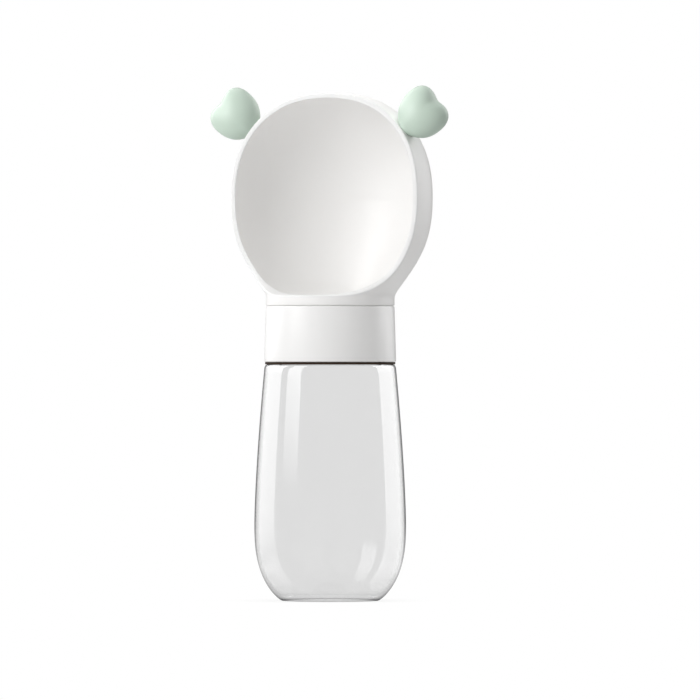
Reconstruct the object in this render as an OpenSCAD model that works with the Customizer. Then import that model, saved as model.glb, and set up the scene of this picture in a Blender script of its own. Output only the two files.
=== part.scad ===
// Travel water bottle for dogs, with a scoop bowl that turns on the cap to open and close the water.
// The origin is the middle of the flat base, +Z points up and the open side of the bowl faces -Y.

/* [Bottle] */
// Height of the flat shoulder above the base
shoulder_z = 100.6; // [80:0.2:140]
// Radius of the flat base
base_r = 20.4; // [16:0.2:24]
// Largest radius of the bottle
belly_r = 32.3; // [30:0.1:38]
// Height of the largest radius
belly_z = 33; // [25:1:50]
// How far the shoulder stays inside the sleeve's lower edge
shoulder_step = 0.2; // [0:0.05:0.6]
// Wall of the blown bottle
bottle_wall = 1.2; // [0.8:0.1:1.6]

/* [Neck and thread] */
// Wall of the neck
neck_wall = 1.6; // [1.2:0.1:2.4]
// Height of the neck above the shoulder
neck_h = 13; // [12.6:0.2:16]
// Rise of the thread in one full turn, shared by two starts
thread_lead = 8; // [7:0.5:9]
// Depth of the thread on the neck and in the cap
thread_depth = 1.2; // [0.8:0.1:1.3]
// Width of the thread where it leaves its wall
thread_w = 1.5; // [1.2:0.1:1.6]

/* [Cap] */
// Height of the white sleeve of the cap
sleeve_h = 23.5; // [22:0.1:28]
// Outer radius of the sleeve's top and of the bowl's foot
foot_r = 27.4; // [25:0.1:30]
// How much wider the sleeve is at the bottom
sleeve_flare = 0.7; // [0:0.1:1.2]
// Wall of the sleeve at its top
sleeve_wall = 1.4; // [1:0.1:1.8]
// Wall of the threaded core outside its thread
core_wall = 1.25; // [0.9:0.05:1.8]
// Wall of the core round the rotor
well_wall = 1.75; // [1.2:0.05:2.4]
// Depth of the fine groove between the sleeve and the bowl's foot
groove_depth = 0.5; // [0.3:0.1:1.5]
// Thickness of the core's roof
roof_t = 3; // [2.6:0.1:4]
// Thickness of the dark seal on the shoulder
seal_t = 1; // [0.6:0.1:2]
// Thickness of the silicone ring on the mouth
gasket_t = 1.5; // [1:0.1:2]

/* [Rotary valve] */
// Angle that opens the valve
valve_turn = 90; // [60:5:120]
// Distance of the ports from the axis, as a share of the rotor's radius
port_share = 0.538; // [0.5:0.002:0.58]
// Radius of each port
port_r = 3; // [2:0.1:3.2]
// Cord radius of the ring seals round the ports
port_seal_r = 0.8; // [0.6:0.1:0.9]
// Thickness of the rotor's ported base
rotor_base_t = 2.4; // [2:0.1:3]
// Cord radius of the ring seal in the rotor's side
side_seal_r = 1; // [0.8:0.1:1.1]
// Radius of the pivot screw's shank
pivot_r = 2.5; // [2:0.1:3]

/* [Bowl] */
// Half width of the bowl at its widest
bowl_half_w = 43.75; // [40:0.25:48]
// Half height of the bowl
bowl_half_h = 44.5; // [42:0.5:50]
// Squareness of the upper half of the bowl's outline, 2 is an ellipse
bowl_square = 2.25; // [2:0.05:2.6]
// Squareness of the lower half of the bowl's outline
bowl_square_low = 2.35; // [2:0.05:2.6]
// Depth from the widest point to the closed back
bowl_back = 32; // [28:1:40]
// Length of the curve from the widest point towards the open front
bowl_front = 51; // [45:1:60]
// Height of the bowl's middle above the lip
lip_drop = 42; // [38:0.5:43]
// How far the widest point lies behind the bottle's axis
bowl_belly_y = 3.5; // [2:0.5:6]
// Wall of the bowl
bowl_wall = 2; // [1.6:0.1:2.4]
// Thickness of the floor over the rotor
floor_t = 1.6; // [1.2:0.1:2.4]
// Rim distance in front of the axis at mid height
rim_front = 7.5; // [6:0.5:9]
// How much the rim leans back at its top
rim_lean = 3.9; // [2:0.1:6]
// Height of the sweep from the rim down to the lip
rim_sweep_h = 16; // [12:0.5:20]
// Squareness of that sweep, 2 is an ellipse
rim_sweep_square = 2.4; // [2:0.1:3]
// Radius between the bowl's floor and its left and right side
floor_round = 10; // [6:0.5:10]
// Radius between the bowl's floor and its front and back, where the grommets lie
floor_round_front = 6; // [2:0.5:7]
// Height of the lip above the bowl's floor
lip_h = 0.7; // [0.5:0.1:2]
// Softness of the blend between bowl and foot
foot_blend = 12; // [8:0.5:16]

/* [Ears] */
// Mean radius of the heart outline
ear_r = 10.4; // [9:0.1:12]
// How much each lobe stands out, as a share of the mean radius
ear_lobe = 0.15; // [0.05:0.005:0.2]
// Depth of the notch, as a share of the mean radius
ear_notch = 0.17; // [0.1:0.01:0.28]
// Length of the tip, as a share of the mean radius
ear_tip = 0.14; // [0.05:0.01:0.2]
// How the heart outline fades towards the puffed middle, higher is faster
ear_fade = 0.8; // [0.2:0.1:1.6]
// Thickness of the puffed heart
ear_t = 15; // [9:0.5:16]
// Angle of the ears above the horizontal
ear_angle = 39.5; // [35:0.5:45]
// Distance of the ear's middle outside the bowl's wall
ear_out = 9.4; // [9:0.1:11]
// How far the ears stand in front of the bottle's axis
ear_forward = 1.4; // [0:0.1:3]
// Radius of the ear's peg
peg_r = 2; // [1.5:0.1:2.5]

/* [Hidden] */
$fn = 96;

// Clearances
fit = 0.03;
run = 0.05;
lift_gap = 0.1;
slack = 0.35;
ride_gap = 0.1;
turn_gap = 0.4;
ride_h = turn_gap - ride_gap;
eps = 0.01;

// Curve of the bottle's side
shoulder_r = foot_r + sleeve_flare - shoulder_step;
belly_power = 2.7;
belly_root = 1.3;
taper_power = 1.45;
belly_steps = 14;
taper_steps = 8;

// Neck and thread
core_r = foot_r - sleeve_wall - fit;
core_in_r = core_r - core_wall;
neck_r = core_in_r - slack - thread_depth;
mouth_r = neck_r - neck_wall;
neck_top = shoulder_z + neck_h;
thread_starts = 2;
thread_pitch = thread_lead / thread_starts;
thread_crest = 0.6;
thread_turn = 0.8;
thread_step = 10;
thread_fade = 30;
thread_sink = 0.3;
thread_start = 2.8;
neck_thread_z = shoulder_z + thread_start;
core_thread_z = neck_thread_z + thread_pitch / 2;
mouth_lip_r = 0.5;

// Cap stack, from the shoulder up
cap_z = shoulder_z + seal_t + lift_gap;
roof_z = neck_top + gasket_t + run;
deck_z = roof_z + roof_t;
sleeve_top = cap_z + sleeve_h;
flange_t = 1.2;
well_r = core_r - well_wall;
rotor_r = well_r - run;
sleeve_bottom_r = foot_r + sleeve_flare;
sleeve_edge = 0.5;
top_edge = 0.25;
gasket_r = core_in_r - slack;
seal_in_r = neck_r + thread_depth + slack;
seal_inset = 0.15;
seal_out_r = shoulder_r - seal_inset;

// Ports and their seals
port_dist = port_share * rotor_r;
port_lip = 1;
seal_ring_r = port_r + port_lip;
seal_groove = 0.25;
seal_sink = 1;
rotor_z = deck_z + 2 * port_seal_r - seal_sink + run;

// Rotor and pivot
foot_z = sleeve_top + turn_gap;
foot_bore_h = 2;
rotor_top = foot_z + foot_bore_h;
port_tube = 1.6;
rotor_wall_in = port_dist + port_r + port_tube + slack;
boss_wall = 3;
boss_r = pivot_r + boss_wall;
boss_floor = 1.2;
cord_play = 0.2;
side_groove_h = 2 * side_seal_r + cord_play;
side_groove_z = (deck_z + sleeve_top - flange_t) / 2;
washer_t = 1;
washer_w = 3.2;
washer_r = pivot_r + washer_w;
screw_head_w = 2;
screw_head_r = pivot_r + screw_head_w;
screw_head_h = 2.4;
screw_slot = 1;
screw_short = 0.6;
screw_tip = rotor_top - boss_floor - screw_short;

// Bowl
floor_top = rotor_top + floor_t;
lip_z = floor_top + lip_h;
bowl_z = lip_z + lip_drop;
centre_slide = 30;
cut_margin = 5;
ring_points = 64;
ring_count = 26;
first_angle = -70;
edge_steps = 7;
level_gap = 0.5;
lean_power = 1.6;
lean_steps = 8;
sweep_steps = 14;
search_steps = 22;
search_max = bowl_front + bowl_back;
peg_depth = 1.4;
grommet_wall = 1.1;
grommet_flange = 1.2;
grommet_flange_t = 0.6;

// Ears, seated on the bowl's outer wall
ear_seat = pow(
    pow(cos(ear_angle) / bowl_half_w, bowl_square) + pow(sin(ear_angle) / bowl_half_h, bowl_square),
    -1 / bowl_square
);
ear_lobe_at = 48;
ear_lobe_w = 30;
ear_notch_w = 25;
ear_tip_w = 20;
ear_points = 48;
ear_rings = 8;

// Radius of the bottle's side at height z
function side_r(z) = z < belly_z
    ? base_r + (belly_r - base_r) * pow(1 - pow(1 - z / belly_z, belly_power), 1 / belly_root)
    : belly_r - (belly_r - shoulder_r) * pow((z - belly_z) / (shoulder_z - belly_z), taper_power);

// Heights along the side, closer together near the base
side_z = [
    for (i = [0:belly_steps]) belly_z * pow(i / belly_steps, 2),
    for (i = [1:taper_steps]) belly_z + (shoulder_z - belly_z) * i / taper_steps,
];

// One thread start: a ridge that climbs round a wall, outward for side 1 and inward for side -1
module thread_ridge(wall_r, z0, side, start) {
    steps = round(360 * thread_turn / thread_step);
    function fade(i) = min(1, min(i, steps - i) * thread_step / thread_fade);
    function corner(i, r, dz) =
        let (a = start + i * thread_step)
        [r * cos(a), r * sin(a), z0 + thread_lead * i * thread_step / 360 + dz];
    function section(i) =
        let (
            root = wall_r - side * thread_sink,
            height = thread_depth * fade(i) - thread_sink / 2 * (1 - fade(i)),
            crest = wall_r + side * height
        )
        [
            corner(i, root, -thread_w / 2), corner(i, crest, -thread_crest / 2),
            corner(i, crest, thread_crest / 2), corner(i, root, thread_w / 2),
        ];
    points = [for (i = [0:steps]) each section(i)];
    sides = [
        for (i = [0:steps - 1], k = [0:3])
        let (a = 4 * i + k, b = 4 * i + (k + 1) % 4)
        each [[a, a + 4, b + 4], [a, b + 4, b]],
    ];
    last = 4 * steps;
    caps = [[0, 1, 2], [0, 2, 3], [last, last + 2, last + 1], [last, last + 3, last + 2]];
    faces = concat(sides, caps);
    turned = [for (f = faces) [f[2], f[1], f[0]]];
    polyhedron(points, side < 0 ? faces : turned);
}

module threads(wall_r, z0, side) {
    for (start = [0:thread_starts - 1]) thread_ridge(wall_r, z0, side, 360 / thread_starts * start);
}

module ring(r_in, r_out, z0, z1) {
    translate([0, 0, z0])
        rotate_extrude()
            translate([r_in, 0])
                square([r_out - r_in, z1 - z0]);
}

module cord_ring(ring_r, cord_r) {
    rotate_extrude()
        translate([ring_r, 0])
            circle(cord_r, $fn = 32);
}

// Bottle: blown side, flat shoulder and threaded neck in one piece
module bottle_body() {
    outer = [for (z = side_z) [side_r(z), z]];
    inner = [
        for (i = [len(side_z) - 1:-1:0])
        [side_r(side_z[i]) - bottle_wall, max(side_z[i], bottle_wall)],
    ];
    inner_top = shoulder_z - bottle_wall;
    color("gainsboro", 0.4) {
        rotate_extrude()
            polygon(concat(
                [[0, 0]],
                outer,
                [
                    [neck_r, shoulder_z], [neck_r, neck_top - mouth_lip_r], [neck_r - mouth_lip_r, neck_top],
                    [mouth_r, neck_top], [mouth_r, inner_top], [shoulder_r - bottle_wall, inner_top],
                ],
                [for (p = inner) if (p[1] < inner_top) p],
                [[0, bottle_wall]]
            ));
        threads(neck_r, neck_thread_z, 1);
    }
}

// Dark seal that lies on the shoulder
module shoulder_seal() {
    color("dimgray") ring(seal_in_r, seal_out_r, shoulder_z, shoulder_z + seal_t);
}

// Loose silicone ring between the mouth and the cap's roof
module mouth_gasket() {
    color("whitesmoke") ring(mouth_r, gasket_r, neck_top, neck_top + gasket_t);
}

// White outer sleeve, slightly conical, with an inward flange at the top on which the bowl's foot rides
module collar_sleeve() {
    in_r = core_r + fit;
    color("white")
        rotate_extrude()
            polygon([
                [in_r, cap_z], [sleeve_bottom_r - sleeve_edge, cap_z],
                [sleeve_bottom_r, cap_z + sleeve_edge],
                [foot_r, sleeve_top - top_edge], [foot_r - top_edge, sleeve_top],
                [foot_r - groove_depth, sleeve_top], [foot_r - groove_depth, sleeve_top + ride_h],
                [well_r + slack, sleeve_top + ride_h], [well_r + slack, sleeve_top - flange_t],
                [in_r, sleeve_top - flange_t],
            ]);
}

module at_ports(turn) {
    for (a = [0, 180]) rotate(a + turn) translate([port_dist, 0, 0]) children();
}

// Threaded core of the cap, with its ported roof and the well that carries the rotor
module cap_core() {
    color("white") {
        difference() {
            translate([0, 0, cap_z]) cylinder(r = core_r, h = sleeve_top - flange_t - cap_z);
            translate([0, 0, cap_z - 1]) cylinder(r = core_in_r, h = roof_z - cap_z + 1);
            translate([0, 0, deck_z]) cylinder(r = well_r, h = sleeve_h);
            translate([0, 0, roof_z - 1]) cylinder(r = pivot_r + run, h = roof_t + 2);
            at_ports(0) {
                translate([0, 0, roof_z - 1]) cylinder(r = port_r, h = roof_t + 2);
                ring(seal_ring_r - port_seal_r, seal_ring_r + port_seal_r + seal_groove,
                    deck_z - seal_sink, deck_z + 1);
            }
        }
        threads(core_in_r, core_thread_z, -1);
    }
}

// Ring seals round the two ports in the roof
module port_seals() {
    color("silver")
        at_ports(0)
            translate([0, 0, deck_z - seal_sink + port_seal_r])
                cord_ring(seal_ring_r + seal_groove / 2, port_seal_r);
}

// Rotor: a ported plug, fixed in the bowl's foot, that turns in the cap's well
module valve_rotor() {
    tube_z = rotor_z + rotor_base_t;
    color("white")
        difference() {
            translate([0, 0, rotor_z]) cylinder(r = rotor_r, h = rotor_top - rotor_z);
            difference() {
                ring(boss_r, rotor_wall_in, tube_z, rotor_top + 1);
                at_ports(valve_turn)
                    translate([0, 0, rotor_z]) cylinder(r = port_r + port_tube, h = rotor_top);
            }
            at_ports(valve_turn)
                translate([0, 0, rotor_z - 1]) cylinder(r = port_r, h = rotor_top);
            translate([0, 0, rotor_z - 1])
                cylinder(r = pivot_r + fit, h = rotor_top - boss_floor - rotor_z + 1);
            side_groove();
        }
}

// Groove in the rotor's side, halfway up the cap's well
module side_groove() {
    ring(rotor_r - 2 * side_seal_r, rotor_r + 1,
        side_groove_z - side_groove_h / 2, side_groove_z + side_groove_h / 2);
}

module rotor_oring() {
    color("dimgray")
        translate([0, 0, side_groove_z])
            cord_ring(rotor_r - side_seal_r + fit, side_seal_r);
}

// Screw that holds the rotor on the cap from below, with a crossed slot
module pivot_screw() {
    head_top = roof_z - run - washer_t;
    color("silver") {
        difference() {
            translate([0, 0, head_top - screw_head_h]) cylinder(r = screw_head_r, h = screw_head_h);
            for (a = [0, 90])
                rotate(a)
                    translate([0, 0, head_top - screw_head_h])
                        cube([screw_head_r * 1.2, screw_slot, screw_slot * 2], center = true);
        }
        translate([0, 0, head_top - eps]) cylinder(r = pivot_r, h = screw_tip - head_top + eps);
    }
}

module pivot_washer() {
    color("silver") ring(pivot_r + fit, washer_r, roof_z - run - washer_t, roof_z - run);
}

// How far outside the bowl's rounded form a point lies, below zero inside; inset draws the form in
function bowl_field(x, y, z, inset) =
    let (
        depth = (y < bowl_belly_y ? bowl_front : bowl_back) - inset,
        level = max(0, 1 - pow((y - bowl_belly_y) / depth, 2)),
        square = z < 0 ? bowl_square_low : bowl_square
    )
    pow(abs(x) / (bowl_half_w - inset), square) + pow(abs(z) / (bowl_half_h - inset), square)
    - pow(level, square / 2);

// Distance from the section's middle to the form, found by halving the step
function bowl_reach(c, dx, dy, z, inset, low = 0, high = search_max, n = 0) =
    n == search_steps ? low : let (mid = (low + high) / 2)
    bowl_field(mid * dx, c + mid * dy, z, inset) < 0
        ? bowl_reach(c, dx, dy, z, inset, mid, high, n + 1)
        : bowl_reach(c, dx, dy, z, inset, low, mid, n + 1);

function foot_reach(c, dy, r) = -c * dy + sqrt(r * r - c * c * (1 - dy * dy));

// The larger of two lengths, rounded where they meet
function soft_max(a, b, k) = max(a, b) + pow(max(0, k - abs(a - b)) / k, 2) * k / 4;

// Where the middle of a section lies: on the axis at the foot, at the widest point further up
function section_y(z) =
    let (t = min(1, max(0, (z + bowl_half_h) / centre_slide)))
    bowl_belly_y * t * t * (3 - 2 * t);

// How far a side draws in at height h above the floor, for a rounded edge of radius r
function draw_in(h, r) = h < r ? r - sqrt(r * r - pow(r - h, 2)) : 0;

// A section of the form at height z, drawn in near the floor, h below, by its side and front roundings
function section(z, inset, h, side_round, front_round) =
    let (c = section_y(z))
    [
        for (i = [0:ring_points - 1])
        let (
            a = 360 * i / ring_points, dx = cos(a), dy = sin(a),
            far = bowl_reach(c, dx, dy, z, inset),
            near = z < 0 ? foot_reach(c, dy, foot_r - inset) : 0,
            edge = side_round + (front_round - side_round) * dy * dy,
            r = (z < 0 ? soft_max(far, near, foot_blend) : far) - draw_in(h, edge)
        )
        [r * dx, c + r * dy, bowl_z + z]
    ];

// Solid inside of the bowl's skin, from height bottom to the crown, with its lower edge rounded
module bowl_form(inset, bottom, side_round = 0, front_round = 0) {
    half_h = bowl_half_h - inset;
    low = bottom - bowl_z;
    edge = max(side_round, front_round);
    upper = [for (i = [0:ring_count - 1]) half_h * sin(first_angle + (90 - first_angle) * i / ring_count)];
    levels = [
        low,
        if (edge > 0)
            for (i = [1:edge_steps]) low + edge * (1 - cos(90 * i / edge_steps)),
        for (z = upper) if (z > low + edge + level_gap) z,
    ];
    rows = len(levels);
    points = [
        for (z = levels) each section(z, inset, z - low, side_round, front_round),
        [0, bowl_belly_y, bowl_z + half_h],
    ];
    n = ring_points;
    walls = [
        for (j = [0:rows - 2], i = [0:n - 1])
        let (a = j * n + i, b = j * n + (i + 1) % n)
        each [[a, a + n, b + n], [a, b + n, b]],
    ];
    crown = [for (i = [0:n - 1]) [(rows - 1) * n + i, rows * n, (rows - 1) * n + (i + 1) % n]];
    polyhedron(points, concat(walls, crown, [[for (i = [0:n - 1]) i]]));
}

// Side view of the space that is cut away in front of the rim, as distances forward and up
module front_cut() {
    lip = lip_z - bowl_z;
    sweep_top = lip + rim_sweep_h;
    sweep_reach = foot_r - rim_front;
    top = bowl_half_h + cut_margin;
    reach = bowl_front;
    upper = [
        for (i = [0:lean_steps - 1])
        let (z = top * (1 - i / lean_steps))
        [rim_front - rim_lean * pow(z / top, lean_power), z],
        [rim_front, 0],
    ];
    sweep = [
        for (i = [0:sweep_steps])
        let (a = 90 * i / sweep_steps, p = 2 / rim_sweep_square)
        [rim_front + sweep_reach * (1 - pow(cos(a), p)), sweep_top - rim_sweep_h * pow(sin(a), p)],
    ];
    side = concat(upper, sweep, [[reach, lip], [reach, top]]);
    translate([0, 0, bowl_z])
        rotate([90, 0, -90])
            linear_extrude(4 * bowl_half_w, center = true)
                polygon([for (p = side) [p[0], p[1]]]);
}

module at_ear(mirrored) {
    mirror([mirrored ? 1 : 0, 0, 0])
        translate([0, 0, bowl_z])
            rotate([0, -ear_angle, 0])
                translate([ear_seat, -ear_forward, 0])
                    children();
}

// Scoop bowl: skin, floor over the rotor, and the round foot that holds the rotor
module bowl_head() {
    color("white")
        difference() {
            bowl_form(0, foot_z);
            bowl_form(bowl_wall, floor_top, floor_round, floor_round_front);
            front_cut();
            translate([0, 0, foot_z - 1]) cylinder(r = rotor_r + fit, h = foot_bore_h + 1);
            at_ports(valve_turn)
                translate([0, 0, rotor_top - 1]) cylinder(r = port_r + grommet_wall + fit, h = floor_t + 2);
            for (m = [false, true])
                at_ear(m)
                    translate([-peg_depth, 0, 0])
                        rotate([0, 90, 0]) cylinder(r = peg_r + fit, h = peg_depth + 3);
        }
}

module grommet(turn) {
    color("gainsboro")
        rotate(turn)
            translate([port_dist, 0, 0]) {
                ring(port_r, port_r + grommet_wall, rotor_top, floor_top);
                ring(
                    port_r, port_r + grommet_wall + grommet_flange,
                    floor_top, floor_top + grommet_flange_t
                );
            }
}

module outlet_grommet() {
    grommet(valve_turn + 180);
}

module return_grommet() {
    grommet(valve_turn);
}

function bell(x, w) = exp(-pow(x / w, 2));

// Radius of the heart outline in direction a, with the notch at 0 and the tip at 180
function heart_r(a) =
    let (side = a > 180 ? 360 - a : a)
    ear_r * (1 + ear_lobe * bell(side - ear_lobe_at, ear_lobe_w)
        - ear_notch * bell(side, ear_notch_w) + ear_tip * bell(180 - side, ear_tip_w));

// Puffed heart that lies in the XZ plane, with the notch towards +X
module heart() {
    n = ear_points;
    rows = 2 * ear_rings - 1;
    points = [
        [0, -ear_t / 2, 0],
        for (j = [1:rows], i = [0:n - 1])
        let (lift = 180 * j / (rows + 1), a = 360 * i / n)
        let (r = (ear_r + (heart_r(a) - ear_r) * pow(sin(lift), ear_fade)) * sin(lift))
        [r * cos(a), -ear_t / 2 * cos(lift), r * sin(a)],
        [0, ear_t / 2, 0],
    ];
    last = len(points) - 1;
    front = [for (i = [0:n - 1]) [0, 1 + (i + 1) % n, 1 + i]];
    walls = [
        for (j = [0:rows - 2], i = [0:n - 1])
        let (a = 1 + j * n + i, b = 1 + j * n + (i + 1) % n)
        each [[a, b + n, a + n], [a, b, b + n]],
    ];
    back = [for (i = [0:n - 1]) [last, last - n + i, last - n + (i + 1) % n]];
    polyhedron(points, concat(front, walls, back));
}

module ear(mirrored) {
    color([0.78, 0.88, 0.82]) {
        difference() {
            at_ear(mirrored) translate([ear_out, 0, 0]) heart();
            bowl_form(-run, foot_z);
        }
        at_ear(mirrored)
            translate([-peg_depth + run, 0, 0]) rotate([0, 90, 0]) cylinder(r = peg_r, h = peg_depth + 2);
    }
}

module ear_left() {
    ear(true);
}

module ear_right() {
    ear(false);
}

bottle_body();
shoulder_seal();
mouth_gasket();
collar_sleeve();
cap_core();
port_seals();
valve_rotor();
rotor_oring();
pivot_screw();
pivot_washer();
bowl_head();
outlet_grommet();
return_grommet();
ear_left();
ear_right();
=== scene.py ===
"""Travel water bottle for dogs: a clear bottle, a white screw cap and a scoop bowl with heart-shaped ears."""

import math

import bpy
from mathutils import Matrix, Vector


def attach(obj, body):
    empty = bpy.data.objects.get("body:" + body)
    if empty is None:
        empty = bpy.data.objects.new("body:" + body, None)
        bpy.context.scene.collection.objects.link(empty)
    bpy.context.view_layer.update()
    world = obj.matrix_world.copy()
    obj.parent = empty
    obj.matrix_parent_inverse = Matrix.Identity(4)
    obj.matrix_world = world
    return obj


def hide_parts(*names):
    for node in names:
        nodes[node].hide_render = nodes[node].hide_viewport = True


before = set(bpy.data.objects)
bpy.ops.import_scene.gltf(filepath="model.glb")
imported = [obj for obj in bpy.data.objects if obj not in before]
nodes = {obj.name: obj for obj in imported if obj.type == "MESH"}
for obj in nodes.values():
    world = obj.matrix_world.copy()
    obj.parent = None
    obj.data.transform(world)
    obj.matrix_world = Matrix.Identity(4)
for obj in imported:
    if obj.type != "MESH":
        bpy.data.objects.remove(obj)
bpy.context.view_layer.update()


# Bottle
# A clear plastic bottle, blown in one piece: thin side, flat shoulder and a neck with two thread starts.
# The cap screws on the neck.
MM = 0.001
shoulder_z, base_r, belly_r, belly_z, shoulder_r = 100.6, 20.4, 32.3, 33.0, 27.9
bottle_wall, base_hollow, base_t, shoulder_round = 1.2, 0.7, 1.8, 1.3
neck_r, mouth_r, neck_top, mouth_round = 23.17, 21.57, 113.6, 0.5
belly_square, belly_flow, shoulder_flow = 2.7, 1.3, 1.45
thread_lead, thread_depth, thread_turn, thread_start = 8.0, 1.2, 0.8, 2.8
thread_sunk, thread_foot, thread_crest, thread_run_out = 0.3, 0.75, 0.3, math.radians(28)


def deselect():
    if bpy.context.object and bpy.context.object.mode != "OBJECT":
        bpy.ops.object.mode_set(mode="OBJECT")
    bpy.ops.object.select_all(action="DESELECT")


def select(*pieces):
    deselect()
    for piece in pieces:
        piece.select_set(True)
    bpy.context.view_layer.objects.active = pieces[0]


def settle(piece, name):
    """The piece takes its name, and its place goes into its mesh."""
    select(piece)
    bpy.ops.object.transform_apply(location=True, rotation=True, scale=True)
    piece.name = piece.data.name = name
    return piece


def turned(name, rings, closed=False, sides=144):
    """A round piece, drawn up ring by ring as on a lathe. rings are (radius, height) in millimetres."""
    deselect()
    (r, z), last = rings[0], rings[-1]
    bpy.ops.mesh.primitive_circle_add(vertices=sides, radius=r * MM, location=(0, 0, z * MM))
    piece = settle(bpy.context.object, name)
    bpy.ops.object.mode_set(mode="EDIT")
    bpy.ops.mesh.select_all(action="SELECT")
    for r2, z2 in rings[1:]:
        bpy.ops.mesh.extrude_edges_move(TRANSFORM_OT_translate={"value": (0, 0, (z2 - z) * MM)})
        bpy.ops.transform.resize(value=(r2 / r, r2 / r, 1), center_override=(0, 0, z2 * MM))
        r, z = r2, z2
    bpy.ops.mesh.select_all(action="SELECT")
    if closed:
        bpy.ops.mesh.remove_doubles(threshold=MM / 1000)
    else:
        bpy.ops.mesh.fill_holes(sides=0)
    bpy.ops.mesh.normals_make_consistent(inside=False)
    bpy.ops.object.mode_set(mode="OBJECT")
    return piece


def smooth(piece, angle=32):
    select(piece)
    bpy.ops.object.shade_smooth_by_angle(angle=math.radians(angle))


def arc(r, z, size, start, end, steps=5):
    """Rings of a rounded edge round (r, z), from angle start to angle end."""
    turns = [math.radians(start + (end - start) * i / steps) for i in range(steps + 1)]
    return [(r + size * math.cos(a), z + size * math.sin(a)) for a in turns]


def side_r(z):
    """Outer radius of the bottle's side at a height: a rounded heel, then a slow taper to the shoulder."""
    if z < belly_z:
        return base_r + (belly_r - base_r) * (1 - (1 - z / belly_z) ** belly_square) ** (1 / belly_flow)
    return belly_r - (belly_r - shoulder_r) * ((z - belly_z) / (shoulder_z - belly_z)) ** shoulder_flow


low = [belly_z * (i / 30) ** 2 for i in range(1, 31)]
high = [belly_z + (shoulder_z - shoulder_round - belly_z) * i / 24 for i in range(1, 25)]
outside = [(1.5, base_hollow), (11, base_hollow), (15, 0.45), (17.5, 0.1), (19, 0), (base_r, 0)]
outside += [(side_r(z), z) for z in low + high]
outside += arc(shoulder_r - shoulder_round, shoulder_z - shoulder_round, shoulder_round, 10, 90)
neck = [(neck_r + 0.6, shoulder_z), (neck_r + 0.15, shoulder_z + 0.15), (neck_r, shoulder_z + 0.6)]
neck += arc(neck_r - mouth_round, neck_top - mouth_round, mouth_round, 0, 90)
neck += arc(mouth_r + mouth_round, neck_top - mouth_round, mouth_round, 90, 180)
under = shoulder_z - bottle_wall
inside = [(mouth_r, under + 0.8), (mouth_r + 0.2, under + 0.2), (mouth_r + 0.8, under)]
inside += arc(shoulder_r - bottle_wall - 1, under - 1, 1, 90, 8)
inside += [(side_r(z) - bottle_wall, z) for z in reversed(low + high) if 4.5 < z < under - 1.5]
inside += [(side_r(3) - 1.5, 3.2), (side_r(2) - 1.9, 2.4), (18.6, 2.0), (17, base_t + 0.1)]
inside += [(14, base_t + 0.4), (11, base_t + base_hollow), (1.5, base_t + base_hollow)]
bottle = turned("bottle_clear", outside + neck + inside)


def thread_ridge(turn):
    """One thread start: a small trapezoid that a Screw modifier winds up the neck, run out at both ends."""
    deselect()
    bpy.ops.mesh.primitive_plane_add(size=1, location=(0, 0, 0))
    ridge = bpy.context.object
    corners = [(-thread_sunk, -thread_foot), (thread_depth, -thread_crest)]
    corners += [(-thread_sunk, thread_foot), (thread_depth, thread_crest)]
    for vertex, (out, up) in zip(ridge.data.vertices, corners):
        vertex.co = Vector(((neck_r + out) * MM, 0, (shoulder_z + thread_start + up) * MM))
    wind = ridge.modifiers.new("wind", "SCREW")
    wind.angle, wind.screw_offset = math.radians(360 * thread_turn), thread_lead * thread_turn * MM
    wind.steps = wind.render_steps = 96
    bpy.ops.object.modifier_apply(modifier="wind")
    for vertex in ridge.data.vertices:
        at = math.atan2(vertex.co.y, vertex.co.x) % (2 * math.pi)
        end = min(at, 2 * math.pi * thread_turn - at) / thread_run_out
        radius = math.hypot(vertex.co.x, vertex.co.y) / MM
        if end < 1 and radius > neck_r:
            drawn = (neck_r - thread_sunk / 2 + (radius - neck_r + thread_sunk / 2) * max(end, 0)) / radius
            vertex.co.x, vertex.co.y = vertex.co.x * drawn, vertex.co.y * drawn
    bpy.ops.object.mode_set(mode="EDIT")
    bpy.ops.mesh.select_all(action="SELECT")
    bpy.ops.mesh.remove_doubles(threshold=MM / 1000)
    bpy.ops.mesh.fill_holes(sides=0)
    bpy.ops.mesh.normals_make_consistent(inside=False)
    bpy.ops.object.mode_set(mode="OBJECT")
    ridge.rotation_euler.z = turn
    return settle(ridge, "ridge")


ridges = [thread_ridge(0), thread_ridge(math.pi)]
select(bottle, *ridges)
bpy.ops.object.join()
smooth(bottle, 40)


class Wire:
    """One socket of a finish. Sums on it add Math nodes."""

    def __init__(self, finish, socket):
        self.finish, self.socket = finish, socket

    def work(self, operation, *values):
        return self.finish.node("ShaderNodeMath", {"operation": operation}, dict(enumerate(values)))

    def __add__(self, other):
        return self.work("ADD", self, other)

    def __sub__(self, other):
        return self.work("SUBTRACT", self, other)

    def __rsub__(self, other):
        return self.work("SUBTRACT", other, self)

    def __mul__(self, other):
        return self.work("MULTIPLY", self, other)

    def __pow__(self, other):
        return self.work("POWER", self, other)

    __radd__, __rmul__ = __add__, __mul__

    def held(self):
        """The value, kept between 0 and 1."""
        return self.work("MINIMUM", self.work("MAXIMUM", self, 0.0), 1.0)


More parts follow.
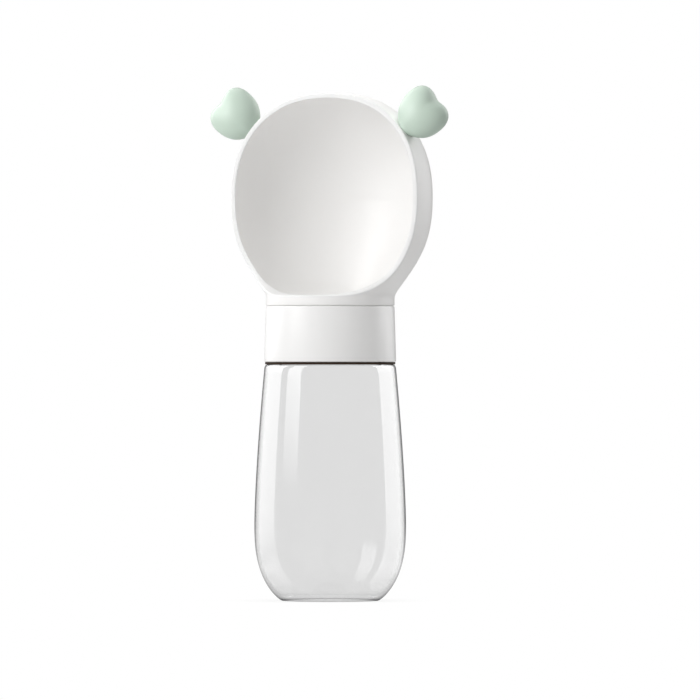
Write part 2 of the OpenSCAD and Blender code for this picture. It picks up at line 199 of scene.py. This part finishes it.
class Finish:
    """A material, with one method that adds any node to it."""

    def __init__(self, name, tree=None):
        self.material = None if tree else bpy.data.materials.new(name)
        if self.material:
            self.material.use_nodes = True
        self.tree = tree or self.material.node_tree
        self.tree.nodes.clear()

    def node(self, kind, settings=None, inputs=None, output=0):
        made = self.tree.nodes.new(kind)
        for key, value in (settings or {}).items():
            setattr(made, key, value)
        for key, value in (inputs or {}).items():
            if isinstance(value, Wire):
                self.tree.links.new(value.socket, made.inputs[key])
            else:
                made.inputs[key].default_value = value
        return Wire(self, made.outputs[output]) if made.outputs else None

    def place(self):
        return self.node("ShaderNodeTexCoord", output="Object")

    def facing(self):
        """0 where the surface is seen straight on, 1 where it is seen edge on."""
        return self.node("ShaderNodeLayerWeight", inputs={"Blend": 0.5}, output="Facing")

    def mix(self, share, first, second):
        """A shader between two shaders."""
        return self.node("ShaderNodeMixShader", inputs={0: share, 1: first, 2: second})

    def noise(self, scale, detail=3.0, stretch=(1, 1, 1)):
        """Noise of about 0.5, with its lumps 1 / scale metres wide."""
        where = self.node("ShaderNodeMapping", inputs={"Vector": self.place(), "Scale": stretch})
        return self.node("ShaderNodeTexNoise", inputs={"Vector": where, "Scale": scale, "Detail": detail})

    def blend(self, factor, first, second):
        """A colour between two colours."""
        return self.node(
            "ShaderNodeMix", {"data_type": "RGBA"}, {0: factor, 6: (*first, 1), 7: (*second, 1)}, 2
        )

    def bump(self, height, depth):
        return self.node("ShaderNodeBump", inputs={"Height": height, "Strength": 1.0, "Distance": depth})

    def shown(self, shader):
        self.node("ShaderNodeOutputMaterial", inputs={"Surface": shader})
        return self.material


def give(piece, material):
    """The piece, or a CAD node, shows this material alone."""
    piece.data.materials.clear()
    piece.data.materials.append(material)


heel_h, foot_h, rim_h = 14.0, 3.8, 1.0
# The dark grey below is painted shade: it is mixed into the bottle where its wall is seen edge on, on its
# heel and at its foot.
wall_tint, base_tint, painted_edge_shade_colour = 0.916, 0.985, (0.1, 0.1, 0.105, 1)


def clear_plastic(name, tint, mirroring, painted_shade_share):
    """Clear plastic of a grey tint, that mirrors the lamps; low on the heel it mirrors less.
    A dark shader is mixed in as painted shade where the wall is seen edge on, low on the heel and in a thin
    line at the foot; towards the foot the wall is also thicker."""
    f = Finish(name)
    facing = f.facing()
    ripple = f.bump(f.noise(60.0, 1.0, (1, 1, 0.25)), 0.00008)
    clear = f.node("ShaderNodeBsdfTransparent", inputs={"Color": (tint, tint, tint, 1)})
    mirror = f.node(
        "ShaderNodeBsdfPrincipled",
        inputs={"Base Color": (1, 1, 1, 1), "Metallic": 1.0, "Roughness": 0.045, "Normal": ripple},
    )
    # A dark matt shader that stands as painted shade on the clear wall, not as thicker plastic.
    painted_edge_shade = f.node(
        "ShaderNodeBsdfPrincipled",
        inputs={"Base Color": painted_edge_shade_colour, "Roughness": 0.5, "Specular IOR Level": 0.0},
    )
    height = f.node("ShaderNodeSeparateXYZ", inputs={0: f.place()}, output="Z") * (1 / MM)
    under = (1.0 - height * (1 / heel_h)).held()
    gloss = mirroring * (0.11 + 0.3 * facing**4.0) * (1.0 - 0.8 * under**0.7)
    wall = f.mix(gloss, clear, mirror)
    # Painted shade: a dark outline where the wall is seen edge on, a broad darkening low on the heel, and a
    # dark line along the bottom millimetre.
    outline = ((facing - 0.6) * 3.6).held() ** 1.6 * (0.4 + 0.6 * ((height - heel_h) * 0.05).held())
    painted_heel_shade = 0.22 * under * ((facing - 0.3) * 1.8).held()
    foot = 0.16 * (1.0 - height * (1 / foot_h)).held() + 0.5 * (1.0 - height * (1 / rim_h)).held()
    edge = (painted_shade_share * (outline + painted_heel_shade + foot)).held()
    return f.shown(f.mix(edge, wall, painted_edge_shade))


give(bottle, clear_plastic("clear_outside", wall_tint, 1.0, 0.72))
bottle.data.materials.append(clear_plastic("clear_inside", wall_tint, 0.03, 0.0))
bottle.data.materials.append(clear_plastic("clear_base", base_tint, 0.03, 0.0))
for face in bottle.data.polygons:
    far_out, height = math.hypot(face.center.x, face.center.y) / MM, face.center.z / MM
    within = base_t < height + 0.2 and height < shoulder_z - bottle_wall / 2
    underside = height < base_hollow + 0.1 and far_out < base_r - 1.5
    floor_inside = within and height < 3.0 and far_out < base_r - 1.5
    on_inside = within and far_out < side_r(height) - bottle_wall / 2
    face.material_index = 2 if underside or floor_inside else int(on_inside)
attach(bottle, "bottle")
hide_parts("bottle_body")


# Seals
# Dark rubber ring on the shoulder and ring in the rotor's side; milky silicone ring on the mouth,
# rings round the cap's ports and the bowl's two outlets. All are moulded and pressed into place.
def rubber(name, base, dust, rough, sheen):
    """Moulded rubber: a fine matt grain, with dust or wear in patches."""
    f = Finish(name)
    grain = f.noise(2600.0, 4.0)
    worn = f.noise(180.0)
    colour = f.blend((worn * 1.6 - 0.4).held(), base, dust)
    return f.shown(
        f.node(
            "ShaderNodeBsdfPrincipled",
            inputs={
                "Base Color": colour,
                "Roughness": rough + 0.18 * grain,
                "Specular IOR Level": sheen,
                "Normal": f.bump(grain, 0.00004),
            },
        )
    )


dark_rubber = rubber("dark_rubber", (0.03, 0.019, 0.012), (0.05, 0.033, 0.022), 0.7, 0.05)
milky_silicone = rubber("milky_silicone", (0.62, 0.63, 0.62), (0.7, 0.7, 0.69), 0.36, 0.5)
for seal in ("shoulder_seal", "rotor_oring"):
    give(nodes[seal], dark_rubber)
for seal in ("mouth_gasket", "port_seals", "outlet_grommet", "return_grommet"):
    give(nodes[seal], milky_silicone)


# Cap core and rotor
# Plain moulded inner pieces: the threaded cap with its ported roof, and the plug that turns in it.
# Both carry fine marks of the mould's turning.
def moulded_white():
    """Plain moulded white plastic, with marks of turning round its axis and a faint change of tone."""
    f = Finish("moulded_white")
    marks = f.noise(900.0, 2.0, (1, 1, 6))
    tone = f.noise(70.0)
    colour = f.blend(tone, (0.74, 0.74, 0.725), (0.8, 0.8, 0.79))
    return f.shown(
        f.node(
            "ShaderNodeBsdfPrincipled",
            inputs={
                "Base Color": colour,
                "Roughness": 0.42 + 0.14 * marks,
                "Normal": f.bump(marks, 0.00003),
            },
        )
    )


inner_white = moulded_white()
for inner in ("cap_core", "valve_rotor"):
    give(nodes[inner], inner_white)


# Pivot screw and washer
# Stainless steel, turned and brushed, that hold the rotor on the cap from below.
def steel():
    """Turned steel, with fine lines round its axis that change its tone and its shine."""
    f = Finish("turned_steel")
    lines = f.noise(400.0, 3.0, (1, 1, 14))
    colour = f.blend(lines, (0.5, 0.5, 0.51), (0.68, 0.68, 0.69))
    return f.shown(
        f.node(
            "ShaderNodeBsdfPrincipled",
            inputs={
                "Base Color": colour,
                "Metallic": 1.0,
                "Roughness": 0.2 + 0.22 * lines,
                "Normal": f.bump(lines, 0.00002),
            },
        )
    )


bright_steel = steel()
for metal in ("pivot_screw", "pivot_washer"):
    give(nodes[metal], bright_steel)


# Collar
# The cap's outer sleeve: a white moulding, slightly conical, with small rounded edges and an inward
# flange at the top, on which the bowl's foot rides. It is pressed on the core.
cap_z, sleeve_top, flange_z = 101.7, 125.2, 124.0
sleeve_low_r, foot_r, core_fit_r, well_edge_r, sleeve_round = 28.1, 27.4, 26.0, 24.57, 0.5
top_round, groove_depth, ride_h, lower_edge, well_round = 0.3, 0.5, 0.3, 0.3, 0.25
sleeve_side = [(core_fit_r, cap_z + lower_edge), (core_fit_r + lower_edge, cap_z)]
sleeve_side += arc(sleeve_low_r - sleeve_round, cap_z + sleeve_round, sleeve_round, -90, 0)
sleeve_side += arc(foot_r - top_round, sleeve_top - top_round, top_round, 0, 90)
sleeve_side += [(foot_r - groove_depth, sleeve_top), (foot_r - groove_depth, sleeve_top + ride_h)]
sleeve_side += arc(well_edge_r + well_round, sleeve_top + ride_h - well_round, well_round, 90, 180)
sleeve_side += [(well_edge_r, flange_z), (core_fit_r, flange_z), (core_fit_r, cap_z + lower_edge)]
collar = turned("collar", sleeve_side, closed=True)
smooth(collar)


def satin_white(name, sheen, low, high, sheen_rough=0.16):
    """Satin moulded white plastic: a fine spark-eroded grain, a faint change of tone and some sheen."""
    f = Finish(name)
    grain = f.noise(3800.0, 2.0)
    tone = f.noise(28.0, 2.0)
    colour = f.blend(tone, low, high)
    shining, plain = [
        f.node(
            "ShaderNodeBsdfPrincipled",
            inputs={
                "Base Color": colour,
                "Roughness": 0.3 + 0.1 * grain,
                "Normal": f.bump(grain, 0.000012),
                "Specular IOR Level": level,
                "Coat Weight": level * sheen,
                "Coat Roughness": sheen_rough,
            },
        )
        for level in (0.35, 0.0)
    ]
    return f.shown(f.mix(((f.facing() - 0.5) * 2.2).held(), shining, plain))


collar_low, collar_high = (0.888, 0.882, 0.873), (0.912, 0.906, 0.898)
give(collar, satin_white("satin_white_collar", 2.6, collar_low, collar_high, sheen_rough=0.32))
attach(collar, "collar")
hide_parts("collar_sleeve")


# Bowl
# One white moulding: a rounded scoop, cut open at the front, with a rounded rim, a floor over the rotor
# and a round foot that the scoop flows into. The foot holds the rotor.
foot_z, floor_top, lip_z, bowl_z, rotor_top = 125.6, 129.2, 129.9, 171.9, 127.6
half_w, half_h, back, front, belly_y, bowl_wall = 43.75, 44.5, 32.0, 51.0, 3.5, 2.0
square_high, square_low, foot_blend = 2.25, 2.35, 12.0
rim_front, rim_lean, lean_power, cut_top = 7.5, 3.9, 1.6, 49.5
sweep_h, sweep_square, rim_depth, rim_round = 16.0, 2.4, 1.0, 0.4
floor_round, floor_round_front, skin_round = 10.0, 6.0, 0.35
ring_points, rotor_bore_r, grommet_bore_r, port_dist = 144, 24.2, 4.13, 13.0
middle_rise, low_share, cut_past, cut_over = 30.0, 0.93, 30.0, 20.0
bowl_low, bowl_high = (0.926, 0.918, 0.906), (0.948, 0.94, 0.93)
# The rim is the same moulding as the bowl; its slightly greyer white below is painted shade.
rim_shaded_low, rim_shaded_high = (0.9, 0.899, 0.893), (0.912, 0.911, 0.905)


def form_gap(x, y, z, inset):
    """Below zero inside the bowl's rounded form."""
    depth = (front if y < belly_y else back) - inset
    level = max(0.0, 1 - ((y - belly_y) / depth) ** 2)
    square = square_low if z < 0 else square_high
    across = (abs(x) / (half_w - inset)) ** square + (abs(z) / (half_h - inset)) ** square
    return across - level ** (square / 2)


def form_reach(centre, dx, dy, z, inset):
    """How far the bowl's form, flowed into its foot, reaches from a section's middle."""
    near_end, far_end = 0.0, front + back
    for _ in range(24):
        middle = (near_end + far_end) / 2
        if form_gap(middle * dx, centre + middle * dy, z, inset) < 0:
            near_end = middle
        else:
            far_end = middle
    if z >= 0:
        return near_end
    foot = foot_r - inset
    near = -centre * dy + math.sqrt(foot**2 - centre**2 * (1 - dy**2))
    meet = max(0.0, foot_blend - abs(near_end - near)) / foot_blend
    return max(near_end, near) + meet**2 * foot_blend / 4


def section_middle(z):
    """How far back a section's middle lies: on the axis at the foot, at the belly's middle above."""
    t = min(1.0, max(0.0, (z + half_h) / middle_rise))
    return belly_y * t * t * (3 - 2 * t)


def draw_in(height, size):
    """How far a side draws in at a height above the floor, for a rounded edge of that size."""
    return size - math.sqrt(size**2 - (size - height) ** 2) if height < size else 0.0


def lofted(name, inset, levels, side_round, front_round):
    """A closed form, extruded level by level; each new ring takes the section's outline at its height."""
    deselect()
    bpy.ops.mesh.primitive_circle_add(vertices=ring_points, radius=foot_r * MM, location=(0, 0, 0))
    piece = settle(bpy.context.object, name)
    bpy.ops.object.mode_set(mode="EDIT")
    bpy.ops.mesh.select_all(action="SELECT")
    for _ in levels[1:]:
        bpy.ops.mesh.extrude_edges_move(TRANSFORM_OT_translate={"value": (0, 0, MM)})
    bpy.ops.object.mode_set(mode="OBJECT")
    for k, z in enumerate(levels):
        centre = section_middle(z)
        for i in range(ring_points):
            vertex = piece.data.vertices[k * ring_points + i]
            around = 2 * math.pi * i / ring_points
            dx, dy = math.cos(around), math.sin(around)
            size = side_round + (front_round - side_round) * dy**2
            reach = form_reach(centre, dx, dy, z, inset) - draw_in(z - levels[0], size)
            vertex.co = Vector((reach * dx, centre + reach * dy, bowl_z + z)) * MM
    select(piece)
    bpy.ops.object.mode_set(mode="EDIT")
    bpy.ops.mesh.select_all(action="SELECT")
    bpy.ops.mesh.fill_holes(sides=0)
    bpy.ops.mesh.normals_make_consistent(inside=False)
    bpy.ops.object.mode_set(mode="OBJECT")
    return piece


def form_levels(inset, bottom, edge, round_steps, last=89.3, steps=64):
    """Heights from the bottom, whose edge is rounded by edge, to the crown."""
    low, height = bottom - bowl_z, half_h - inset
    levels = [low + edge * (1 - math.cos(math.pi / 2 * i / round_steps)) for i in range(round_steps)]
    start = max(low + edge, -low_share * height)
    if start > low + edge:
        levels += [low + edge + (start - low - edge) * i / 5 for i in range(5)]
    first = math.degrees(math.asin(start / height))
    rises = [math.radians(first + (last - first) * i / steps) for i in range(steps + 1)]
    return levels + [height * math.sin(rise) for rise in rises]


def front_line(offset, steps=90):
    """Side view of the line that the rim follows, as (distance forward, height), moved back by offset."""
    lip = lip_z - bowl_z
    reach = foot_r - rim_front
    line = []
    for i in range(steps + 1):
        z = cut_top * (1 - i / steps)
        line.append((rim_front - rim_lean * (z / cut_top) ** lean_power, z))
    straight = lip + sweep_h
    line += [(rim_front, straight * i / 20) for i in range(1, 20)]
    for i in range(steps + 1):
        a, p = math.pi / 2 * i / steps, 2 / sweep_square
        line.append((rim_front + reach * (1 - math.cos(a) ** p), straight - sweep_h * math.sin(a) ** p))
    line.append((front, lip))
    moved = []
    for i, (f, z) in enumerate(line):
        before, after = line[max(i - 1, 0)], line[min(i + 1, len(line) - 1)]
        run, rise = after[0] - before[0], after[1] - before[1]
        size = math.hypot(run, rise)
        moved.append((f + rise / size * offset, z - run / size * offset))
    return moved


def cut(piece, tool, keep=False):
    """The tool's form is taken away from the piece."""
    select(piece)
    taken = piece.modifiers.new("taken", "BOOLEAN")
    taken.operation, taken.solver, taken.object = "DIFFERENCE", "EXACT", tool
    bpy.ops.object.modifier_apply(modifier="taken")
    if not keep:
        bpy.data.objects.remove(tool)


def drill(x, y, radius, bottom, top):
    """A round form to cut a bore with."""
    deselect()
    middle = (x * MM, y * MM, (top + bottom) / 2 * MM)
    bpy.ops.mesh.primitive_cylinder_add(
        vertices=96, radius=radius * MM, depth=(top - bottom) * MM, location=middle
    )
    return settle(bpy.context.object, "drill")


skin = lofted("bowl", 0.0, form_levels(0.0, foot_z, skin_round, 4), skin_round, skin_round)
hollow_levels = form_levels(bowl_wall, floor_top, floor_round, 14)
hollow = lofted("hollow", bowl_wall, hollow_levels, floor_round, floor_round_front)
select(skin)
bpy.ops.object.duplicate()
ear_seat_form = bpy.context.object
ear_seat_form.name = "ear_seat_form"

side_line = front_line(rim_depth)
past, over = front + cut_past, cut_top + cut_over
outline = side_line + [(past, side_line[-1][1]), (past, over), (side_line[0][0], over)]
deselect()
bpy.ops.mesh.primitive_circle_add(vertices=len(outline), radius=1, fill_type="NGON")
front_space = bpy.context.object
for vertex, (f, z) in zip(front_space.data.vertices, outline):
    vertex.co = Vector((-2 * half_w, -f, bowl_z + z)) * MM
bpy.ops.object.mode_set(mode="EDIT")
bpy.ops.mesh.select_all(action="SELECT")
bpy.ops.mesh.extrude_region_move(TRANSFORM_OT_translate={"value": (4 * half_w * MM, 0, 0)})
bpy.ops.mesh.select_all(action="SELECT")
bpy.ops.mesh.normals_make_consistent(inside=False)
bpy.ops.object.mode_set(mode="OBJECT")

cut(skin, hollow)
cut(skin, front_space)
cut(skin, drill(0, 0, rotor_bore_r, foot_z - 2, rotor_top))
for y in (-port_dist, port_dist):
    cut(skin, drill(0, y, grommet_bore_r, rotor_top - 1, floor_top + 1))


def rim_line(inset, offset, steps=110):
    """Closed line round the rim: the front cut, moved back by offset, meets the wall drawn in by inset."""
    line = front_line(offset, steps=400)
    lengths = [0.0]
    for (f, z), (f2, z2) in zip(line, line[1:]):
        lengths.append(lengths[-1] + math.hypot(f2 - f, z2 - z))

    def at(length):
        k = next(i for i in range(1, len(lengths)) if lengths[i] >= length or i == len(lengths) - 1)
        share = (length - lengths[k - 1]) / (lengths[k] - lengths[k - 1])
        (f, z), (f2, z2) = line[k - 1], line[k]
        return f + (f2 - f) * share, z + (z2 - z) * share

    def within(x, y, z):
        centre, above = section_middle(z), max(0.0, bowl_z + z - floor_top)
        reach = math.hypot(x, y - centre)
        dx, dy = (x / reach, (y - centre) / reach) if reach else (0.0, -1.0)
        size = floor_round + (floor_round_front - floor_round) * dy**2
        draw = draw_in(above, size) if inset > 0 else 0.0
        return z < half_h - inset and reach < form_reach(centre, dx, dy, z, inset) - draw

    def halve(good, bad, test):
        for _ in range(28):
            middle = (good + bad) / 2
            if test(middle):
                good = middle
            else:
                bad = middle
        return good

    def on_axis(length):
        f, z = at(length)
        return within(0.0, -f, z)

    half_way = lengths[-1] / 3
    first, last = halve(half_way, 0.0, on_axis), halve(half_way, lengths[-1], on_axis)
    points = []
    for i in range(steps + 1):
        f, z = at(first + (last - first) * (1 - math.cos(math.pi * i / steps)) / 2)
        out = halve(0.0, half_w, lambda x: within(x, -f, z)) if 0 < i < steps else 0.0
        points.append(Vector((out, -f, bowl_z + z)))
    return points + [Vector((-x, y, z)) for x, y, z in reversed(points[1:-1])]


def rim_strip():
    """The rim's last millimetre: a ring with a flat face and two small rounded edges."""
    outer, inner = rim_line(0.0, 0.0), rim_line(bowl_wall, 0.0)
    outer_deep, inner_deep = rim_line(0.0, rim_depth), rim_line(bowl_wall, rim_depth)
    rounded = arc(rim_round, rim_round, rim_round, 180, 270)
    section = [(0.0, 1.0), *((across / bowl_wall, deep / rim_depth) for across, deep in rounded), (0.5, 0.0)]
    section += [(1 - across, deep) for across, deep in reversed(section[:-1])]
    deselect()
    bpy.ops.mesh.primitive_torus_add(
        major_segments=len(outer), minor_segments=len(section), location=(0, 0, 0)
    )
    strip = bpy.context.object
    for i, corners in enumerate(zip(outer, inner, outer_deep, inner_deep)):
        for k, (across, deep) in enumerate(section):
            near = corners[0].lerp(corners[1], across)
            far = corners[2].lerp(corners[3], across)
            strip.data.vertices[i * len(section) + k].co = near.lerp(far, deep) * MM
    select(strip)
    bpy.ops.object.mode_set(mode="EDIT")
    bpy.ops.mesh.select_all(action="SELECT")
    bpy.ops.mesh.normals_make_consistent(inside=False)
    bpy.ops.object.mode_set(mode="OBJECT")
    return strip


rim = rim_strip()
rim_faces = len(rim.data.polygons)
select(skin, rim)
bpy.ops.object.join()
bowl = settle(skin, "bowl")
smooth(bowl, 35)
give(bowl, satin_white("satin_white_bowl", 0.4, bowl_low, bowl_high))
# The rim takes a greyer copy of the bowl's white, which is painted shade on the rim.
bowl.data.materials.append(satin_white("satin_white_rim_painted_shade", 0.8, rim_shaded_low, rim_shaded_high))
for face in bowl.data.polygons[len(bowl.data.polygons) - rim_faces :]:
    face.material_index = 1
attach(bowl, "head")
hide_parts("bowl_head")


# Ears
# Two puffed hearts of mint-green plastic, each moulded on its own. A short peg seats them on the bowl's
# upper corners, and their foot takes the form of its skin.
ear_r, ear_lobe, ear_notch, ear_tip, ear_t, ear_fade = 10.4, 0.15, 0.17, 0.14, 15.0, 0.8
lobe_at, lobe_wide, notch_wide, tip_wide = 48, 30, 25, 20
ear_angle, ear_out, ear_forward = math.radians(39.5), 9.4, 1.4
ear_seat = (
    (math.cos(ear_angle) / half_w) ** square_high + (math.sin(ear_angle) / half_h) ** square_high
) ** (-1 / square_high)


def heart_r(a):
    """Radius of the heart's outline at an angle in degrees, with the notch at 0 and the tip at 180."""
    side = min(a, 360 - a)
    lobe = ear_lobe * math.exp(-(((side - lobe_at) / lobe_wide) ** 2))
    notch = ear_notch * math.exp(-((side / notch_wide) ** 2))
    tip = ear_tip * math.exp(-(((180 - side) / tip_wide) ** 2))
    return ear_r * (1 + lobe - notch + tip)


def ear(name, side):
    """One heart, puffed up from its outline, on the left (side -1) or the right (side 1)."""
    deselect()
    bpy.ops.mesh.primitive_uv_sphere_add(
        segments=128, ring_count=72, radius=1, location=(0, 0, 0), rotation=(math.pi / 2, 0, 0)
    )
    heart = settle(bpy.context.object, name)
    seat = Vector((ear_seat + ear_out, -ear_forward, 0))
    for vertex in heart.data.vertices:
        x, y, z = vertex.co
        wide = math.hypot(x, z)
        around = math.degrees(math.atan2(z, x)) % 360
        reach = (ear_r + (heart_r(around) - ear_r) * wide**ear_fade) * wide
        a = math.radians(around)
        spot = seat + Vector((reach * math.cos(a), y * ear_t / 2, reach * math.sin(a)))
        turned_x = spot.x * math.cos(ear_angle) - spot.z * math.sin(ear_angle)
        turned_z = spot.x * math.sin(ear_angle) + spot.z * math.cos(ear_angle)
        vertex.co = Vector((side * turned_x, spot.y, bowl_z + turned_z)) * MM
    select(heart)
    bpy.ops.object.mode_set(mode="EDIT")
    bpy.ops.mesh.select_all(action="SELECT")
    bpy.ops.mesh.normals_make_consistent(inside=False)
    bpy.ops.object.mode_set(mode="OBJECT")
    cut(heart, ear_seat_form, keep=True)
    smooth(heart, 60)
    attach(heart, "head")
    return heart


def mint_plastic():
    """Satin mint plastic with a soft sheen."""
    f = Finish("mint_plastic")
    grain = f.noise(3200.0, 2.0)
    tone = f.noise(90.0, 2.0)
    colour = f.blend(tone, (0.448, 0.54, 0.465), (0.468, 0.565, 0.487))
    shining, plain = [
        f.node(
            "ShaderNodeBsdfPrincipled",
            inputs={
                "Base Color": colour,
                "Roughness": 0.34 + 0.1 * grain,
                "Normal": f.bump(grain, 0.00001),
                "Specular IOR Level": level,
            },
        )
        for level in (0.45, 0.0)
    ]
    return f.shown(f.mix(f.facing() ** 4.0, shining, plain))


mint = mint_plastic()
ears = bpy.data.collections.new("ears")
for name, node, side in (("ear_heart_left", "ear_left", -1), ("ear_heart_right", "ear_right", 1)):
    heart = ear(name, side)
    ears.objects.link(heart)
    give(heart, mint)
    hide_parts(node)
bpy.data.objects.remove(ear_seat_form)


# Studio
# A plain white floor and surround, a large soft lamp on the left with a weak one in front, one overhead
# and one behind, a lamp for the ears alone, and tall soft panels that show only in mirrors. The camera
# looks level, from 22 degrees to the right.
view_turn, stand_off = math.radians(22), 4.0
frame_w, side_shift, mid_height, lamp_aim = 0.2981, 0.00843, 0.1067, 0.12
ahead = Vector((-math.sin(view_turn), math.cos(view_turn), 0))
rightward = Vector((math.cos(view_turn), math.sin(view_turn), 0))

deselect()
bpy.ops.mesh.primitive_plane_add(size=8, location=(0, 0, 0))
floor = bpy.context.object
floor.name = "floor"


def seen_by_rays(finish):
    """1 for what the camera, mirrors and clear plastic see, 0 for the light that falls on the object."""
    camera, mirrors, clear = [
        finish.node("ShaderNodeLightPath", output=f"Is {kind} Ray")
        for kind in ("Camera", "Glossy", "Transmission")
    ]
    return (camera + mirrors + clear).held()


f = Finish("white_floor")
bounce, shadow_share, shadow_r, shadow_fade = 0.72, 0.12, 0.021, 0.025
away = f.node("ShaderNodeVectorMath", {"operation": "LENGTH"}, {0: f.place()}, output="Value")
beyond = ((away - shadow_r) * (1 / shadow_fade)).held()
lit = f.node("ShaderNodeBsdfDiffuse", inputs={"Color": (bounce, bounce, bounce, 1)})
glow = f.node("ShaderNodeEmission", inputs={"Color": (1, 1, 1, 1), "Strength": 1.0})
glowing = seen_by_rays(f) * (1 - shadow_share + shadow_share * beyond)
give(floor, f.shown(f.mix(glowing, lit, glow)))
floor.visible_glossy = False

world = bpy.data.worlds.new("surround")
bpy.context.scene.world = world
world.use_nodes = True
w = Finish("surround", world.node_tree)
ambient = 0.29
strength = ambient + (1 - ambient) * seen_by_rays(w)
surround = w.node("ShaderNodeBackground", inputs={"Color": (1, 1, 1, 1), "Strength": strength})
w.node("ShaderNodeOutputWorld", inputs={"Surface": surround})


def lamp(name, turn, rise, away, size, radiance, mirrored=False):
    """A soft lamp at an angle right of the camera and above the level, that shines with a radiance."""
    turn, rise = math.radians(turn), math.radians(rise)
    towards = -ahead * math.cos(turn) + rightward * math.sin(turn)
    aim = Vector((0, 0, lamp_aim))
    spot = aim + (towards * math.cos(rise) + Vector((0, 0, math.sin(rise)))) * away
    light = bpy.data.lights.new(name, "AREA")
    light.shape, light.size, light.size_y = "RECTANGLE", size[0], size[1]
    light.energy = radiance * math.pi * size[0] * size[1]
    holder = bpy.data.objects.new(name, light)
    bpy.context.scene.collection.objects.link(holder)
    holder.location = spot
    holder.rotation_euler = (aim - spot).to_track_quat("-Z", "Y").to_euler()
    holder.visible_camera = False
    holder.visible_glossy = mirrored
    return holder


lamp("key", -52, 22, 1.5, (1.2, 1.2), 2.43)
lamp("front", -30, 30, 1.5, (1.2, 1.2), 0.42)
lamp("overhead", 20, 72, 1.6, (1.2, 1.2), 1.0)
lamp("rear", 180, 70, 1.6, (1.2, 1.2), 3.23)
ear_light = lamp("ear_light", -66, 10, 1.5, (0.9, 1.0), 4.0, mirrored=True)
ear_light.light_linking.receiver_collection = ears


def panel(name, first, last, bottom, top, fade, radiance):
    """An upright soft panel between two angles right of the camera, seen in mirrors alone.
    It is faint at its foot."""
    stand, middle, half = 1.5, math.radians((first + last) / 2), math.radians((last - first) / 2)
    towards = -ahead * math.cos(middle) + rightward * math.sin(middle)
    deselect()
    bpy.ops.mesh.primitive_plane_add(size=2, location=(0, 0, 0))
    sheet = bpy.context.object
    sheet.name = name
    sheet.scale = (stand * math.tan(half), (top - bottom) / 2, 1)
    sheet.location = towards * stand + Vector((0, 0, (top + bottom) / 2))
    sheet.rotation_euler = (-towards).to_track_quat("Z", "Y").to_euler()
    f = Finish(name)
    up = f.node("ShaderNodeSeparateXYZ", inputs={0: f.place()}, output="Y")
    strong = ((up + 1.0) * ((top - bottom) / 2 / fade)).held()
    shine = f.node("ShaderNodeEmission", inputs={"Color": (1, 1, 1, 1), "Strength": radiance})
    gone = f.node("ShaderNodeBsdfTransparent")
    give(sheet, f.shown(f.mix(strong, gone, shine)))
    for ray in ("camera", "diffuse", "transmission", "volume_scatter", "shadow"):
        setattr(sheet, "visible_" + ray, False)


panel("left_panel", -158, -94, -0.25, 1.6, 0.8, 3.6)
panel("left_narrow_panel", -79, -52, 0.14, 1.8, 0.2, 3.0)
panel("right_panel", 94, 150, -0.35, 1.6, 0.85, 3.0)

lens = bpy.data.cameras.new("camera")
lens.sensor_width, lens.lens, lens.clip_end = 36, 36 * stand_off / frame_w, 50
camera = bpy.data.objects.new("camera", lens)
bpy.context.scene.collection.objects.link(camera)
camera.location = -ahead * stand_off + rightward * side_shift + Vector((0, 0, mid_height))
camera.rotation_euler = (math.pi / 2, 0, view_turn)
bpy.context.scene.camera = camera
bpy.context.scene.view_settings.view_transform = "Standard"
